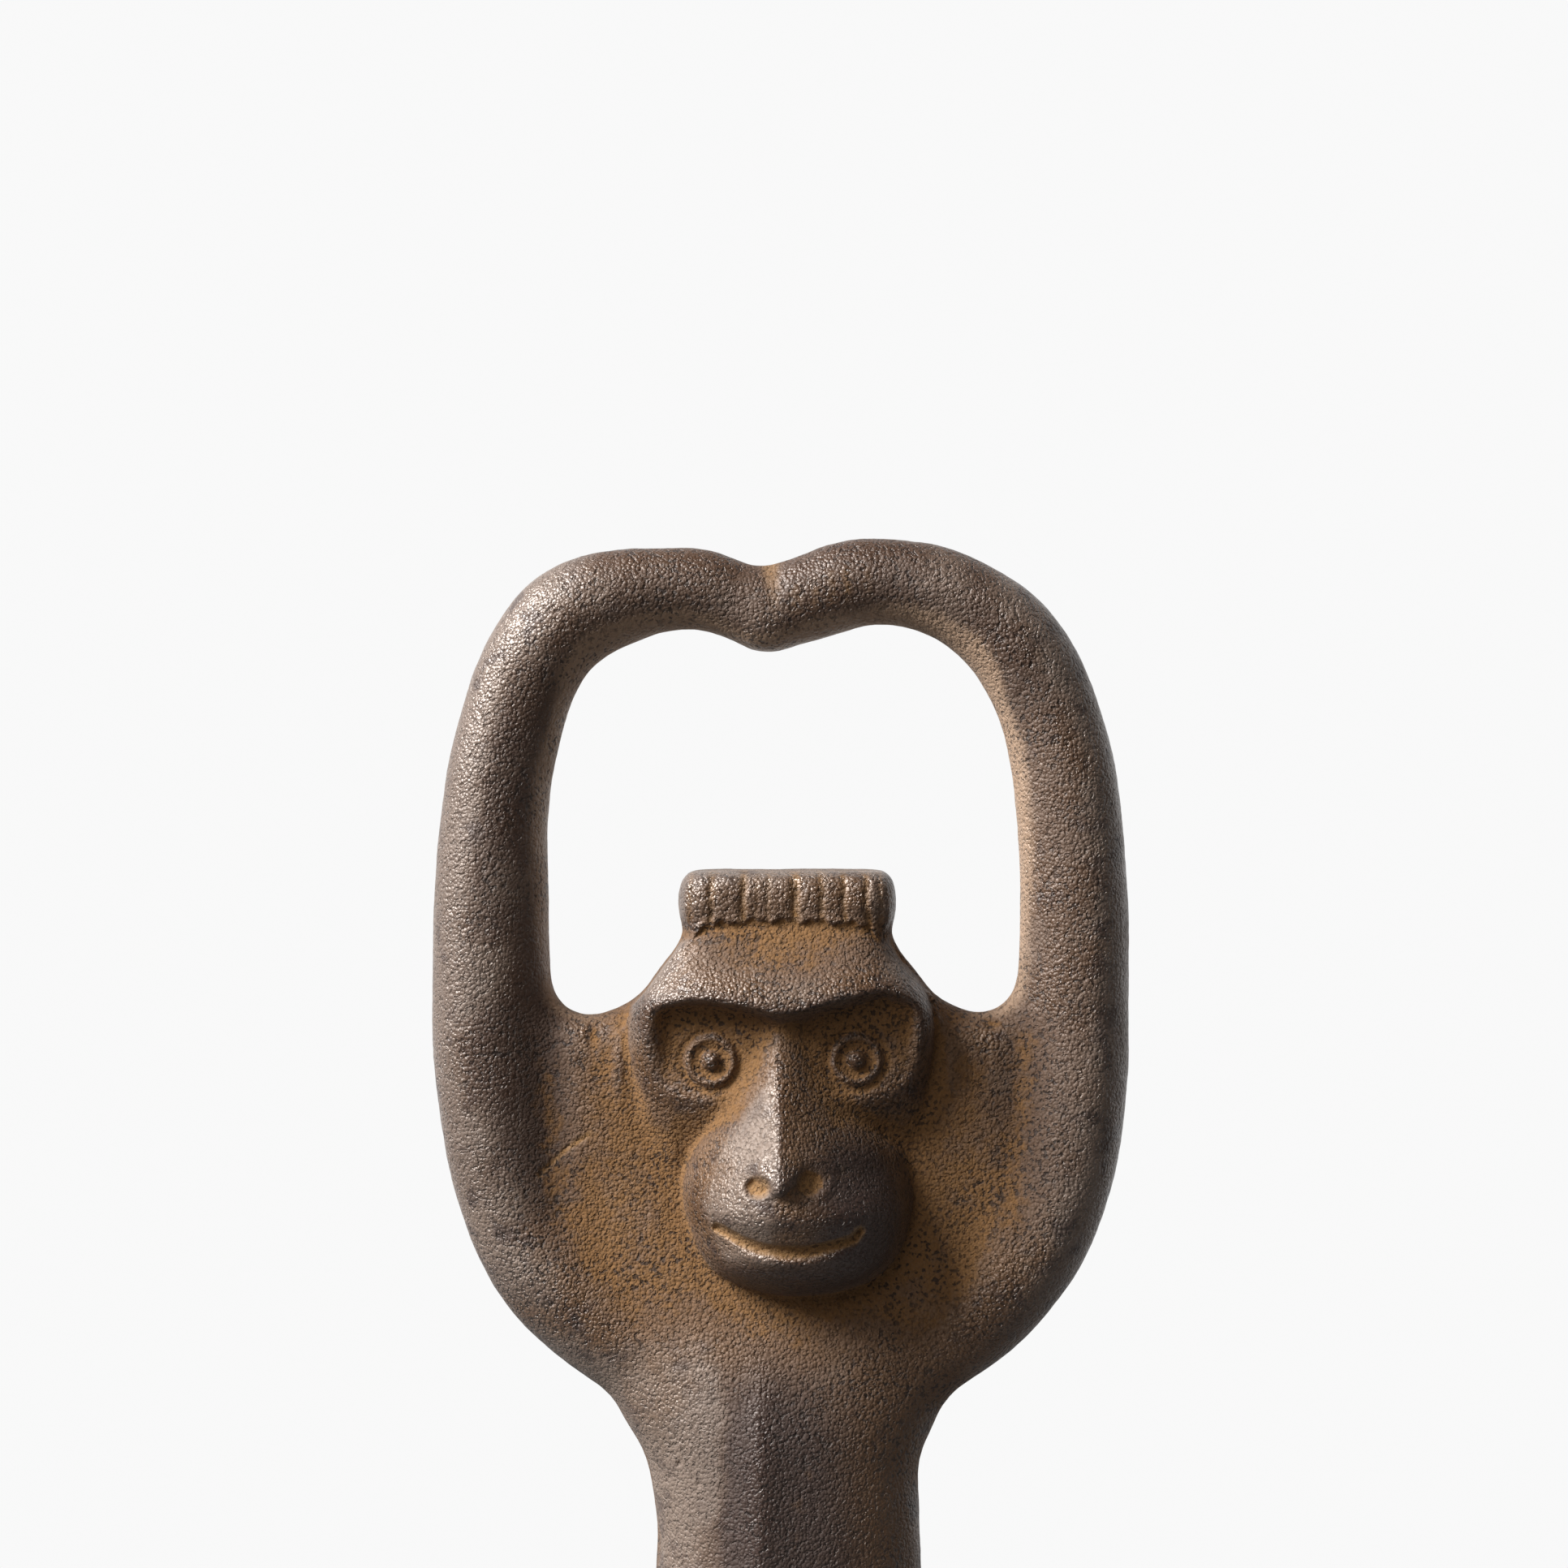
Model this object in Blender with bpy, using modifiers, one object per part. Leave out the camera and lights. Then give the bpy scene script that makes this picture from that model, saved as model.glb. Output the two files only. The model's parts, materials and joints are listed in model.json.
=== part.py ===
"""A cast-iron bottle opener in the form of a monkey, which stands on its feet.

The figure raises both arms into a loop over its head. The hands meet in a lip that hooks under a crown cap,
and the flat crest of the head is the rest that the opener turns about. The whole tool is one casting. Its
forms overlap here, and a voxel remesh fuses them as the mould does, with a soft fillet in every corner.

Metres, +Z up, the face towards -Y. The origin is on the floor, under the middle of the casting's box.
"""

import math

import bmesh
import bpy
from mathutils import Vector

# Heights, each from the level below it, starting at the floor.
LEG_LENGTH = 0.041
TORSO_LENGTH = 0.035
NECK_LENGTH = 0.0075
HEAD_LENGTH = 0.0367
CAP_GAP = 0.0186
LIP_DEPTH = 0.0101
# The web between arms and head, up from the shoulders.
WEB_HEIGHT = 0.0314

# Widths and thicknesses.
LOOP_WIDTH = 0.0602
ARM_WIDTH = 0.0103
HAND_WIDTH = 0.0079
ARM_FLATNESS = 0.92
WEB_THICKNESS = 0.0060
HEAD_WIDTH = 0.0280
HEAD_DEPTH = 0.0160
MUZZLE_WIDTH = 0.0202
MUZZLE_REACH = 0.0083
BROW_THICKNESS = 0.0034
CREST_WIDTH = 0.0187
CREST_HEIGHT = 0.0056
CREST_DEPTH = 0.0110
WAIST_WIDTH = 0.0230
WAIST_DEPTH = 0.0146
LEG_WIDTH = 0.0112
FOOT_WIDTH = 0.0128
FOOT_LENGTH = 0.0260
FOOT_HEIGHT = 0.0062

# The face and the hands sit a little to one side, as they do on the pattern.
FACE_SHIFT = 0.0005
LIP_SHIFT = -0.0012

# The levels that follow.
HIPS = LEG_LENGTH
SHOULDERS = HIPS + TORSO_LENGTH
CHIN = SHOULDERS + NECK_LENGTH
CREST_TOP = CHIN + HEAD_LENGTH
LIP_TIP = CREST_TOP + CAP_GAP
LOOP_TOP = LIP_TIP + LIP_DEPTH
WEB_TOP = SHOULDERS + WEB_HEIGHT
FACE_LEVEL = CHIN + 0.55 * HEAD_LENGTH
ARM_REACH = (LOOP_WIDTH - ARM_WIDTH) / 2

# The cast skin: the fillet in the corners between limbs and body, the grain of the remesh, how far it is
# smoothed, and the share of its faces that stay.
FILLET = 0.0024
VOXEL = 0.0006
SMOOTHING = 8
KEPT_FACES = 0.085

# An arm's path on the figure's right, which is the viewer's left: the share of the reach, the share of the way
# from the shoulders to the top of the loop, and the thickness as a share of the arm's width.
RIGHT_ARM = (
    (0.22, -0.02, 0.95),
    (0.47, 0.045, 1.00),
    (0.67, 0.091, 1.00),
    (0.83, 0.154, 1.00),
    (0.93, 0.240, 1.00),
    (0.99, 0.360, 1.02),
    (1.00, 0.480, 1.02),
    (1.00, 0.590, 0.98),
    (0.985, 0.690, 0.93),
    (0.945, 0.765, 0.90),
    (0.870, 0.842, 0.89),
    (0.785, 0.888, 0.91),
    (0.690, 0.913, 0.91),
    (0.590, 0.926, 0.86),
)
LEFT_ARM = (
    (0.24, -0.02, 0.95),
    (0.47, 0.045, 1.00),
    (0.67, 0.091, 1.00),
    (0.83, 0.154, 1.00),
    (0.94, 0.240, 1.00),
    (1.00, 0.360, 0.99),
    (1.01, 0.480, 0.96),
    (1.01, 0.590, 0.93),
    (0.990, 0.690, 0.91),
    (0.950, 0.765, 0.88),
    (0.865, 0.842, 0.86),
    (0.768, 0.888, 0.84),
    (0.652, 0.918, 0.80),
    (0.565, 0.933, 0.78),
)
# A hand's path: the share of the way from the lip to where the arm ends, the share of the lip's depth up from
# its tip, and the thickness as a share of the hand's width.
RIGHT_HAND = ((0.63, 0.56, 0.94), (0.40, 0.55, 0.92), (0.18, 0.440, 0.87), (0.0, 0.37, 0.94))
LEFT_HAND = ((0.73, 0.61, 0.98), (0.50, 0.61, 1.01), (0.31, 0.52, 1.01), (0.0, 0.37, 0.94))


def clear_scene():
    for thing in list(bpy.data.objects):
        bpy.data.objects.remove(thing)


def new_collection(name):
    made = bpy.data.collections.new(name)
    bpy.context.scene.collection.children.link(made)
    return made


def mesh_of(thing):
    """The mesh that a curve or a stack of modifiers makes, with any loose caps welded on."""
    bpy.context.scene.collection.objects.link(thing)
    bpy.context.view_layer.update()
    evaluated = thing.evaluated_get(bpy.context.evaluated_depsgraph_get())
    mesh = bpy.data.meshes.new_from_object(evaluated)
    bpy.data.objects.remove(thing)
    welded = bmesh.new()
    welded.from_mesh(mesh)
    bmesh.ops.remove_doubles(welded, verts=welded.verts, dist=0.00001)
    bmesh.ops.recalc_face_normals(welded, faces=welded.faces)
    welded.to_mesh(mesh)
    welded.free()
    return mesh


def tube(stations, flatness=1.0):
    """A round bar through stations of (x, y, z, radius). Its section is flattened front to back."""
    curve = bpy.data.curves.new("tube", "CURVE")
    curve.dimensions = "3D"
    curve.bevel_depth = 1.0
    curve.bevel_resolution = 6
    curve.resolution_u = 6
    curve.use_fill_caps = True
    spline = curve.splines.new("BEZIER")
    spline.bezier_points.add(len(stations) - 1)
    for point, (x, y, z, radius) in zip(spline.bezier_points, stations):
        point.co = (x, y / flatness, z)
        point.radius = radius
        point.handle_left_type = "AUTO"
        point.handle_right_type = "AUTO"
    mesh = mesh_of(bpy.data.objects.new("tube", curve))
    for vertex in mesh.vertices:
        vertex.co.y *= flatness
    return mesh


def blob(centre, radii):
    """An egg of three radii."""
    mesh = bpy.data.meshes.new("blob")
    made = bmesh.new()
    bmesh.ops.create_uvsphere(made, u_segments=32, v_segments=20, radius=1.0)
    bmesh.ops.scale(made, vec=radii, verts=made.verts)
    bmesh.ops.translate(made, vec=centre, verts=made.verts)
    made.to_mesh(mesh)
    made.free()
    return mesh


def rounded_block(low, high, rounding):
    """A box between two corners with every edge rounded."""
    low = Vector(low)
    high = Vector(high)
    mesh = bpy.data.meshes.new("block")
    made = bmesh.new()
    bmesh.ops.create_cube(made, size=1.0)
    bmesh.ops.scale(made, vec=high - low, verts=made.verts)
    bmesh.ops.translate(made, vec=(low + high) / 2, verts=made.verts)
    bmesh.ops.bevel(
        made, geom=made.edges[:], offset=rounding, segments=3, profile=0.5, affect="EDGES"
    )
    made.to_mesh(mesh)
    made.free()
    return mesh


def loft(sections):
    """A closed form through level sections of (height, half width, half depth, squareness, middle)."""
    around = 48
    mesh = bpy.data.meshes.new("loft")
    made = bmesh.new()
    rings = []
    for height, half_width, half_depth, squareness, middle in sections:
        ring = []
        for step in range(around):
            angle = math.tau * step / around
            across = math.copysign(abs(math.cos(angle)) ** (2 / squareness), math.cos(angle))
            through = math.copysign(abs(math.sin(angle)) ** (2 / squareness), math.sin(angle))
            point = (middle + across * half_width, through * half_depth, height)
            ring.append(made.verts.new(point))
        rings.append(ring)
    for below, above in zip(rings, rings[1:]):
        for step in range(around):
            after = (step + 1) % around
            made.faces.new((below[step], below[after], above[after], above[step]))
    made.faces.new(rings[0][::-1])
    made.faces.new(rings[-1])
    made.to_mesh(mesh)
    made.free()
    return mesh


def arm_stations(side, arm, hand):
    """The whole limb on one side, -1 or +1 along X, from inside the shoulder to the lip."""
    rise = LOOP_TOP - SHOULDERS
    stations = [
        (side * across * ARM_REACH, 0.0, SHOULDERS + up * rise, share * ARM_WIDTH / 2)
        for across, up, share in arm
    ]
    wrist = stations[-1][0]
    stations += [
        (LIP_SHIFT + across * (wrist - LIP_SHIFT), 0.0, LIP_TIP + up * LIP_DEPTH, share * HAND_WIDTH / 2)
        for across, up, share in hand
    ]
    return stations


def arms():
    right = arm_stations(-1, RIGHT_ARM, RIGHT_HAND)
    left = arm_stations(+1, LEFT_ARM, LEFT_HAND)
    return [tube(right, ARM_FLATNESS), tube(left, ARM_FLATNESS)]


def cap_lip():
    """The point under the joined hands that hooks below a cap's rim."""
    half = 0.31 * HAND_WIDTH
    blunted = 0.0002
    return blob((LIP_SHIFT, 0, LIP_TIP + half - blunted), (1.25 * half, 0.42 * HAND_WIDTH, half))


def trunk():
    """Hips, waist, chest and the web between the arms, as one loft that thins out towards the loop's floor."""
    waist = WAIST_WIDTH / 2
    deep = WAIST_DEPTH / 2
    thin = WEB_THICKNESS / 2
    lower = SHOULDERS - HIPS
    low_middle = 1.2 * FACE_SHIFT
    high_middle = -0.3 * FACE_SHIFT
    sections = (
        (HIPS - 0.40 * lower, 0.45 * waist, 0.35 * deep, 2.2, low_middle),
        (HIPS - 0.26 * lower, 0.84 * waist, 0.74 * deep, 2.3, low_middle),
        (HIPS - 0.08 * lower, 1.02 * waist, 0.96 * deep, 2.3, low_middle),
        (HIPS + 0.12 * lower, 1.06 * waist, 1.02 * deep, 2.3, low_middle),
        (HIPS + 0.40 * lower, 1.01 * waist, 0.98 * deep, 2.3, low_middle),
        (HIPS + 0.66 * lower, 0.99 * waist, 0.96 * deep, 2.3, low_middle),
        (HIPS + 0.82 * lower, 1.02 * waist, 0.94 * deep, 2.3, 0.4 * FACE_SHIFT),
        (HIPS + 0.93 * lower, 1.20 * waist, 0.92 * deep, 2.3, high_middle),
        (SHOULDERS + 0.05 * WEB_HEIGHT, 0.61 * ARM_REACH, 0.87 * deep, 2.3, high_middle),
        (SHOULDERS + 0.13 * WEB_HEIGHT, 0.67 * ARM_REACH, 0.80 * deep, 2.4, high_middle),
        (SHOULDERS + 0.25 * WEB_HEIGHT, 0.72 * ARM_REACH, 0.68 * deep, 2.6, 0.0),
        (SHOULDERS + 0.40 * WEB_HEIGHT, 0.84 * ARM_REACH, 0.55 * deep, 3.0, 0.0),
        (SHOULDERS + 0.60 * WEB_HEIGHT, 0.93 * ARM_REACH, 1.08 * thin, 4.0, 0.0),
        (WEB_TOP - 0.0010, ARM_REACH, thin, 6.0, 0.0),
        (WEB_TOP, ARM_REACH, thin - 0.0010, 6.0, 0.0),
    )
    return loft(sections)


def web_rise():
    """Where the web climbs to meet the sides of the head."""
    return blob((FACE_SHIFT, 0, WEB_TOP - 0.0010), (0.69 * ARM_REACH, 0.45 * WEB_THICKNESS, 0.0046))


def skull():
    """The head from the crest down to the cheeks."""
    height = 0.78 * HEAD_LENGTH
    return blob(
        (FACE_SHIFT, 0, CREST_TOP - CREST_HEIGHT - 0.40 * height),
        (HEAD_WIDTH / 2, HEAD_DEPTH / 2, height / 2),
    )


def snout():
    """The muzzle, the cheeks that lead up to the eyes, and the ridge of the nose."""
    face = -HEAD_DEPTH / 2
    half = MUZZLE_WIDTH / 2
    tip = CHIN + 0.315 * HEAD_LENGTH
    muzzle = blob(
        (FACE_SHIFT + 0.0008, face + 0.0032, CHIN + 0.262 * HEAD_LENGTH),
        (half, MUZZLE_REACH, 0.256 * HEAD_LENGTH),
    )
    cheeks = blob(
        (FACE_SHIFT, face + 0.0042, CHIN + 0.40 * HEAD_LENGTH),
        (0.90 * half, 0.62 * MUZZLE_REACH, 0.17 * HEAD_LENGTH),
    )
    ridge = tube(
        [
            (-0.0002, face + 0.0009, FACE_LEVEL + 0.078 * HEAD_LENGTH, 0.0013),
            (-0.0002, face - 0.0010, FACE_LEVEL - 0.070 * HEAD_LENGTH, 0.0015),
            (0.0, face - MUZZLE_REACH + 0.0042, tip, 0.0017),
        ]
    )
    return [muzzle, cheeks, ridge]


def brow():
    """The double arch over the eyes, which dips to the nose and curls down outside each eye."""
    half = HEAD_WIDTH / 2
    front = -HEAD_DEPTH / 2
    path = (
        (-0.86, -0.090, 0.0050, 0.75),
        (-0.87, 0.020, 0.0036, 0.95),
        (-0.85, 0.095, 0.0028, 1.0),
        (-0.77, 0.140, 0.0020, 1.0),
        (-0.64, 0.168, 0.0012, 1.0),
        (-0.40, 0.158, 0.0004, 1.0),
        (-0.16, 0.131, 0.0001, 1.0),
        (-0.03, 0.104, 0.0, 1.0),
        (0.14, 0.119, 0.0001, 1.0),
        (0.40, 0.153, 0.0004, 1.0),
        (0.68, 0.174, 0.0012, 1.0),
        (0.83, 0.147, 0.0022, 1.0),
        (0.88, 0.095, 0.0028, 1.0),
        (0.87, 0.020, 0.0036, 0.95),
        (0.78, -0.080, 0.0050, 0.75),
    )
    stations = [
        (across * half, front + back, FACE_LEVEL + up * HEAD_LENGTH, share * BROW_THICKNESS / 2)
        for across, up, back, share in path
    ]
    return tube(stations)


def crest():
    """The block of hair whose flat top is the rest that a cap turns on. It stands taller here than it ends."""
    middle = FACE_SHIFT
    return rounded_block(
        (middle - CREST_WIDTH / 2, -CREST_DEPTH / 2 - 0.0007, CREST_TOP - CREST_HEIGHT),
        (middle + CREST_WIDTH / 2, CREST_DEPTH / 2 - 0.0007, CREST_TOP + 0.0004),
        0.0020,
    )


def crest_neck():
    """What joins the crest to the skull, a little narrower than the crest."""
    middle = FACE_SHIFT
    half = 0.94 * CREST_WIDTH / 2
    low = CREST_TOP - CREST_HEIGHT - 0.0050
    high = CREST_TOP - 0.5 * CREST_HEIGHT
    return rounded_block((middle - half, -0.0052, low), (middle + half, 0.0048, high), 0.0020)


def legs():
    """Two legs pressed together, the knees a little forward."""
    apart = 0.46 * LEG_WIDTH
    made = []
    for side in (-1, +1):
        x = FACE_SHIFT + side * apart
        stations = [
            (x, 0.0, HIPS + 0.004, 0.50 * LEG_WIDTH),
            (x + side * 0.0005, -0.0006, 0.84 * LEG_LENGTH, 0.53 * LEG_WIDTH),
            (x + side * 0.0006, -0.0012, 0.66 * LEG_LENGTH, 0.52 * LEG_WIDTH),
            (x + side * 0.0004, -0.0004, 0.46 * LEG_LENGTH, 0.47 * LEG_WIDTH),
            (x + side * 0.0002, 0.0010, 0.26 * LEG_LENGTH, 0.45 * LEG_WIDTH),
            (x + side * 0.0003, 0.0016, 0.05 * LEG_LENGTH, 0.50 * LEG_WIDTH),
        ]
        made.append(tube(stations))
    return made


def feet():
    """Two long feet that point forward and a little apart, joined along the middle into one sole."""
    made = []
    for side in (-1, +1):
        x = FACE_SHIFT + side * 0.46 * FOOT_WIDTH
        heel = 0.36 * FOOT_LENGTH
        half = FOOT_WIDTH / 2
        stations = [
            (x - side * 0.0006, heel, 0.0, 0.42 * half),
            (x - side * 0.0006, heel - 0.05 * FOOT_LENGTH, 0.0, 0.74 * half),
            (x - side * 0.0003, heel - 0.20 * FOOT_LENGTH, 0.0, 0.90 * half),
            (x + side * 0.0006, heel - 0.50 * FOOT_LENGTH, 0.0, 0.92 * half),
            (x + side * 0.0012, heel - 0.78 * FOOT_LENGTH, 0.0, 1.00 * half),
            (x + side * 0.0014, heel - 0.92 * FOOT_LENGTH, 0.0, 0.82 * half),
            (x + side * 0.0014, heel - 0.99 * FOOT_LENGTH, 0.0, 0.45 * half),
        ]
        foot = tube(stations)
        for vertex in foot.vertices:
            vertex.co.z *= FOOT_HEIGHT / half
        made.append(foot)
    return made


def cast_iron():
    """A brown, waxed iron skin."""
    material = bpy.data.materials.new("cast_iron")
    material.use_nodes = True
    shader = material.node_tree.nodes["Principled BSDF"]
    shader.inputs["Base Color"].default_value = (0.115, 0.076, 0.052, 1)
    shader.inputs["Metallic"].default_value = 0.35
    shader.inputs["Roughness"].default_value = 0.55
    return material


def joined(name, forms):
    """One object that holds all these overlapping meshes."""
    whole = bmesh.new()
    for form in forms:
        whole.from_mesh(form)
        bpy.data.meshes.remove(form)
    mesh = bpy.data.meshes.new(name)
    whole.to_mesh(mesh)
    whole.free()
    return bpy.data.objects.new(name, mesh)


def add_fuse(thing):
    """Makes one skin of everything that overlaps."""
    fuse = thing.modifiers.new("fuse", "REMESH")
    fuse.mode = "VOXEL"
    fuse.voxel_size = VOXEL
    fuse.adaptivity = 0


def add_offset(thing, distance):
    """Moves the skin outwards, or inwards if the distance is below zero."""
    offset = thing.modifiers.new("offset", "DISPLACE")
    offset.strength = distance
    offset.mid_level = 0


def add_softening(thing, passes):
    soften = thing.modifiers.new("soften", "SMOOTH")
    soften.factor = 0.5
    soften.iterations = passes


def filleted(forms, radius):
    """These forms as one mesh whose inner corners are filled: the skin swells by the radius, is fused again,
    and goes back by the same radius, which leaves outer edges as they were."""
    body = joined("body", forms)
    add_fuse(body)
    add_softening(body, 2)
    add_offset(body, radius)
    add_fuse(body)
    add_softening(body, 2)
    add_offset(body, -radius)
    return mesh_of(body)


def flat_cutter(name, low, high, stand, collection):
    """A box that cuts one level face: the floor under the feet, or the top of the crest."""
    cutter = bpy.data.objects.new(name, rounded_block(low, high, 0.0002))
    cutter.parent = stand
    cutter.hide_render = True
    cutter.display_type = "WIRE"
    collection.objects.link(cutter)
    return cutter


def add_cut(casting, cutter):
    cut = casting.modifiers.new(cutter.name, "BOOLEAN")
    cut.operation = "DIFFERENCE"
    cut.solver = "EXACT"
    cut.object = cutter


def add_thinning(casting):
    """Takes away the faces that the shape doesn't need."""
    thin = casting.modifiers.new("thin", "DECIMATE")
    thin.decimate_type = "COLLAPSE"
    thin.ratio = KEPT_FACES
    thin.use_collapse_triangulate = True


def centre_on_origin(stand, casting):
    """Moves the stand that holds everything, so that the casting's box is centred over the origin."""
    bpy.context.view_layer.update()
    evaluated = casting.evaluated_get(bpy.context.evaluated_depsgraph_get())
    mesh = evaluated.to_mesh()
    across = [vertex.co.x for vertex in mesh.vertices]
    through = [vertex.co.y for vertex in mesh.vertices]
    evaluated.to_mesh_clear()
    stand.location.x = -(min(across) + max(across)) / 2
    stand.location.y = -(min(through) + max(through)) / 2


def main():
    clear_scene()
    parts = new_collection("monkey_bottle_opener")
    cutters = new_collection("cutters")
    stand = bpy.data.objects.new("opener", None)
    parts.objects.link(stand)

    limbs = filleted([*arms(), cap_lip(), trunk(), web_rise(), skull(), crest_neck(), *legs(), *feet()], FILLET)
    casting = joined("opener_casting", [limbs, *snout(), brow(), crest()])
    parts.objects.link(casting)
    casting.parent = stand
    casting.data.materials.append(cast_iron())
    add_fuse(casting)
    add_softening(casting, SMOOTHING)
    add_thinning(casting)

    wide = LOOP_WIDTH
    floor_cut = flat_cutter("floor_cut", (-wide, -wide, -wide), (wide, wide, 0), stand, cutters)
    add_cut(casting, floor_cut)
    crest_low = (FACE_SHIFT - 0.7 * CREST_WIDTH, -CREST_DEPTH, CREST_TOP)
    crest_high = (FACE_SHIFT + 0.7 * CREST_WIDTH, CREST_DEPTH, CREST_TOP + 0.25 * CAP_GAP)
    add_cut(casting, flat_cutter("crest_cut", crest_low, crest_high, stand, cutters))
    centre_on_origin(stand, casting)


main()
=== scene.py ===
"""The looks of a cast-iron bottle opener in the form of a monkey.

The casting is taken from the frame, given a finer skin, and its face, hands, crest, belly and feet are carved
into that skin as a pattern maker carves them. A brown, waxed, sand-cast finish goes over it, with painted light
and shade in places.
"""

import json
import math

import bmesh
import bpy
import numpy as np
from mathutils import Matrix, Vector, noise
from mathutils.bvhtree import BVHTree


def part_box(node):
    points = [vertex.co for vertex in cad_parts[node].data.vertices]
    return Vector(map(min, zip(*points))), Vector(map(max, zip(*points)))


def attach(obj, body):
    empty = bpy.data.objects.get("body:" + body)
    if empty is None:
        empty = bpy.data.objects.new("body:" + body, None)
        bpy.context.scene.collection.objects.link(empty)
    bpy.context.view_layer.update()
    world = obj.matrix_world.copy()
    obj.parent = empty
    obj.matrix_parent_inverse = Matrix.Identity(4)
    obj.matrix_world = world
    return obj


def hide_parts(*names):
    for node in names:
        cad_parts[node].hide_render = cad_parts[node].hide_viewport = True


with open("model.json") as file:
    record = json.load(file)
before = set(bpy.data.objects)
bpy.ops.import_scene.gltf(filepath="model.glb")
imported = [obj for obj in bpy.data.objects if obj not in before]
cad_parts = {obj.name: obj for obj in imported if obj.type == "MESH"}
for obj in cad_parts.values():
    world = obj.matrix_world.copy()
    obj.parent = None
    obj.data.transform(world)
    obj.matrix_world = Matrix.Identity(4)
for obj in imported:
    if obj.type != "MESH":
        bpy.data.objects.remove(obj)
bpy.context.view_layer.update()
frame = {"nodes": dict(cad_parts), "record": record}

MM = 0.001
CASTING = "opener_casting"
BOX_LOW, BOX_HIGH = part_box(CASTING)

# Every size below is in millimetres, and every height is from the sole up.
# The middle of the loop across, and the flat top and the foot of the crest of hair.
LOOP_MIDDLE = 0.4
CREST_TOP = 120.2
CREST_FOOT = 116.1
# The middle plane of the arms and the lip, which the face stands forward of.
MIDDLE = next(mount["pos_m"][1] for mount in frame["record"]["mounts"] if mount["name"] == "cap_lip") / MM

# The grain of the skin before and after the head is modelled, how often each is smoothed, and what is kept.
FIRST_GRAIN = 0.34
FIRST_SMOOTHING = 22
FINE_GRAIN = 0.23
FINE_SMOOTHING = 3
KEPT_FACES = 200_000


# ---- working a mesh as arrays of points, in millimetres --------------------------------------------------


def points_of(mesh):
    found = np.empty(len(mesh.vertices) * 3, np.float32)
    mesh.vertices.foreach_get("co", found)
    return found.reshape(-1, 3).astype(np.float64) / MM


def normals_of(mesh):
    found = np.empty(len(mesh.vertices) * 3, np.float32)
    mesh.vertices.foreach_get("normal", found)
    return found.reshape(-1, 3).astype(np.float64)


def put_points(mesh, points):
    mesh.vertices.foreach_set("co", (points * MM).astype(np.float32).ravel())
    mesh.update()


def smoothstep(start, end, value):
    share = np.clip((value - start) / (end - start), 0, 1)
    return share * share * (3 - 2 * share)


def soft_max(first, second, blend):
    """The larger of two heights, with a fillet of about this size where they meet."""
    share = np.clip(0.5 + 0.5 * (first - second) / blend, 0, 1)
    return second * (1 - share) + first * share + blend * share * (1 - share)


def hump(x, z, centre, size):
    """A round swell of height 1 with these half widths."""
    return np.exp(-(((x - centre[0]) / size[0]) ** 2) - ((z - centre[1]) / size[1]) ** 2)


def curve_through(knots, value):
    """A smooth curve of height against position through a few (position, height) knots."""
    places = np.array([knot[0] for knot in knots], float)
    heights = np.array([knot[1] for knot in knots], float)
    slopes = np.gradient(heights, places)
    value = np.clip(value, places[0], places[-1])
    span = np.clip(np.searchsorted(places, value) - 1, 0, len(places) - 2)
    width = places[span + 1] - places[span]
    t = (value - places[span]) / width
    return (
        heights[span] * (1 + 2 * t) * (1 - t) ** 2
        + slopes[span] * width * t * (1 - t) ** 2
        + heights[span + 1] * t * t * (3 - 2 * t)
        - slopes[span + 1] * width * t * t * (1 - t)
    )


def distance_to_line(x, z, line):
    """How far each point is from a line of (x, z) points, and how far along the line, from 0 to 1."""
    nearest = np.full(x.shape, np.inf)
    along = np.zeros(x.shape)
    lengths = [math.dist(a, b) for a, b in zip(line, line[1:])]
    total = sum(lengths)
    done = 0.0
    for (ax, az), (bx, bz), length in zip(line, line[1:], lengths):
        share = np.clip(((x - ax) * (bx - ax) + (z - az) * (bz - az)) / length**2, 0, 1)
        gap = np.hypot(x - ax - share * (bx - ax), z - az - share * (bz - az))
        closer = gap < nearest
        nearest = np.where(closer, gap, nearest)
        along = np.where(closer, (done + share * length) / total, along)
        done += length
    return nearest, along


# ---- the skin --------------------------------------------------------------------------------------------


def evaluated_mesh(thing):
    bpy.context.view_layer.update()
    graph = bpy.context.evaluated_depsgraph_get()
    return bpy.data.meshes.new_from_object(thing.evaluated_get(graph))


def reworked(mesh, modifiers):
    """A new mesh from this one, after a list of (kind, settings)."""
    holder = bpy.data.objects.new("holder", mesh)
    bpy.context.scene.collection.objects.link(holder)
    for kind, settings in modifiers:
        modifier = holder.modifiers.new(kind, kind)
        for name, value in settings.items():
            setattr(modifier, name, value)
    made = evaluated_mesh(holder)
    bpy.data.objects.remove(holder)
    bpy.data.meshes.remove(mesh)
    return made


def fused(mesh, grain, passes):
    remesh = {"mode": "VOXEL", "voxel_size": grain * MM, "adaptivity": 0.0}
    smooth = {"factor": 0.5, "iterations": passes}
    return reworked(mesh, [("REMESH", remesh), ("SMOOTH", smooth)])


def thinned(mesh, faces):
    share = min(1.0, faces / (2 * len(mesh.polygons)))
    return reworked(mesh, [("DECIMATE", {"ratio": share, "use_collapse_triangulate": True})])


# ---- the head, as heights in front of the middle plane ----------------------------------------------------

# The middles of the eyes and of the nostrils, as (across, up).
EYES = ((-5.95, 104.3), (6.35, 104.4))
NOSTRILS = ((-1.85, 94.35), (2.25, 94.65))
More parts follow.
